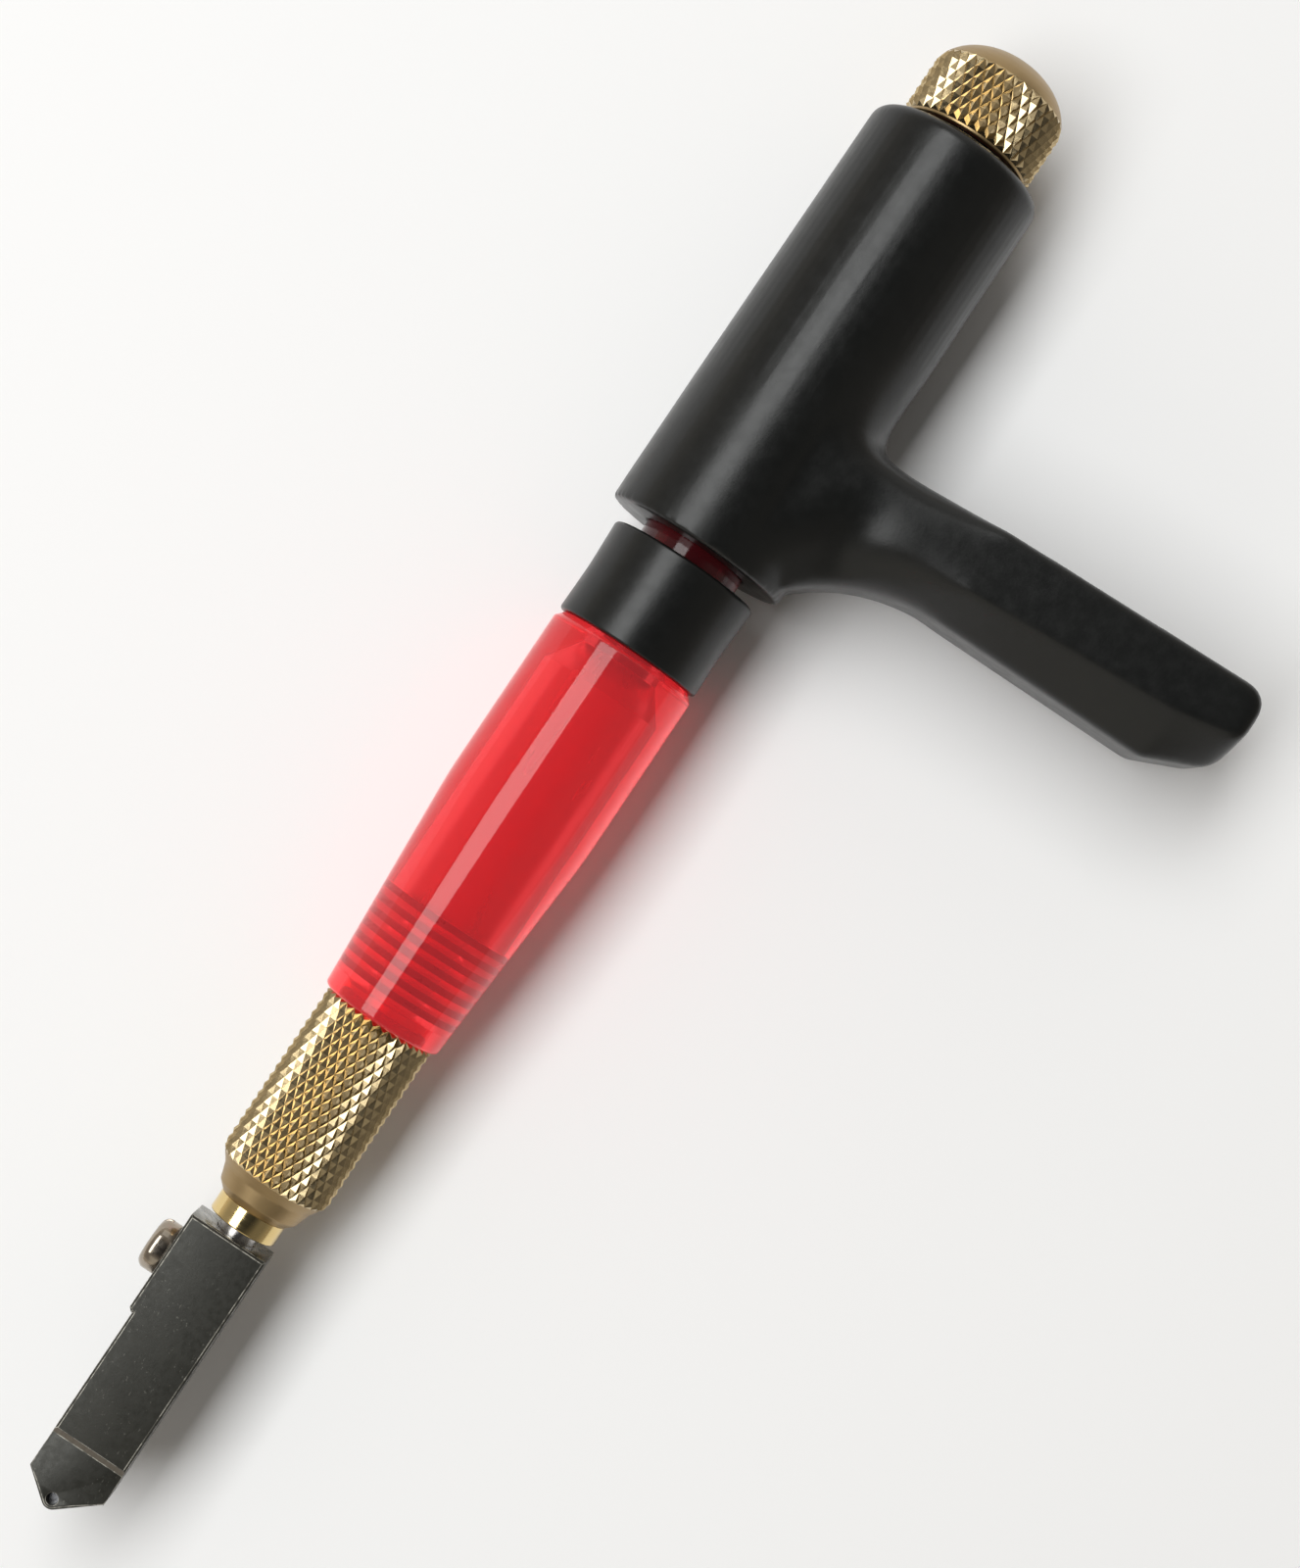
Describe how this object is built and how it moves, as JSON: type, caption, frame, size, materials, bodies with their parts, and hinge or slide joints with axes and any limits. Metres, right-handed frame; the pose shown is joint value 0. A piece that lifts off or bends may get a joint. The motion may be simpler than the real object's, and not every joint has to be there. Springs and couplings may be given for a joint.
{
  "type": "glass cutter",
  "caption": "Oil-fed glass cutter: small wheel in a swivelling steel head, knurled ferrule, clear red reservoir barrel, T-shaped grip and screw-on filler cap.",
  "frame": {"origin": "on the tool's long axis, level with the lowest point of the cutting wheel", "axes": "+X up the tool's axis towards the filler cap, +Z out of the head's broad face, and the grip's arm points to -Y: the tool lies on its side"},
  "size_m": [0.1703, 0.0637, 0.0194],
  "materials": {
    "hard_metal": "ground tungsten carbide",
    "dark_steel": "blackened, worn at the edges",
    "nickel": "nickel plate",
    "bright_steel": "ground",
    "wick_felt": "cotton felt",
    "brass_bright": "turned and polished",
    "brass_knurled": "diamond knurl",
    "rubber_black": "nitrile rubber",
    "red_acrylic": "clear red cast acrylic",
    "black_plastic": "satin moulded plastic"
  },
  "bodies": {
    "barrel": {"barrel": "red_acrylic", "ferrule": "brass_knurled", "barrel_oring": "rubber_black", "neck_bush": "brass_bright", "neck_oring": "rubber_black", "seal_washer": "brass_bright", "valve_seat": "brass_bright", "valve_spring": "bright_steel", "spring_retainer": "brass_bright", "return_spring": "bright_steel"},
    "stem": {"head_stem": "bright_steel", "stem_clip": "bright_steel", "oil_wick": "wick_felt"},
    "head": {"cutter_head": "dark_steel", "wheel_axle": "hard_metal", "head_screw": "nickel"},
    "wheel": {"cutting_wheel": "hard_metal"},
    "valve": {"valve_ball": "bright_steel"},
    "ring_seal": {"lock_ring_oring": "rubber_black"},
    "ring": {"lock_ring": "black_plastic"},
    "grip": {"grip": "black_plastic", "grip_orings": "rubber_black"},
    "cap_seal": {"cap_gasket": "rubber_black"},
    "cap": {"filler_cap": "brass_knurled"}
  },
  "joints": [
    {"name": "stem_press", "type": "slide", "parent": "barrel", "child": "stem", "axis": [1, 0, 0], "range_m": [0, 0.0007], "stiffness_N_per_m": 600, "springref_m": -0.002, "deforming": ["return_spring"]},
    {"name": "head_swivel", "type": "hinge", "parent": "stem", "child": "head", "pos_m": [0.0267, 0, 0], "axis": [1, 0, 0], "range_deg": [-15, 15]},
    {"name": "wheel_spin", "type": "hinge", "parent": "head", "child": "wheel", "pos_m": [0.0015, 0.0004, 0], "axis": [0, 0, 1], "continuous": true},
    {"name": "valve_lift", "type": "slide", "parent": "barrel", "child": "valve", "axis": [1, 0, 0], "range_m": [0, 0.0007], "deforming": ["valve_spring"]},
    {"name": "ring_travel", "type": "slide", "parent": "barrel", "child": "ring_seal", "axis": [1, 0, 0], "range_m": [0, 0.0015]},
    {"name": "ring_turn", "type": "hinge", "parent": "ring_seal", "child": "ring", "pos_m": [0.105, 0, 0], "axis": [1, 0, 0], "range_deg": [0, 540]},
    {"name": "grip_swivel", "type": "hinge", "parent": "barrel", "child": "grip", "pos_m": [0.135, 0, 0], "axis": [1, 0, 0], "continuous": true},
    {"name": "cap_lift", "type": "slide", "parent": "barrel", "child": "cap_seal", "axis": [1, 0, 0], "range_m": [0, 0.008]},
    {"name": "cap_turn", "type": "hinge", "parent": "cap_seal", "child": "cap", "pos_m": [0.165, 0, 0], "axis": [1, 0, 0], "range_deg": [0, 2880]}
  ],
  "couplings": [
    {"joint": "valve_lift", "follows": "stem_press", "ratio": 1},
    {"joint": "ring_turn", "follows": "ring_travel", "rad_per_m": 6283.2},
    {"joint": "cap_turn", "follows": "cap_lift", "rad_per_m": 6283.2}
  ]
}
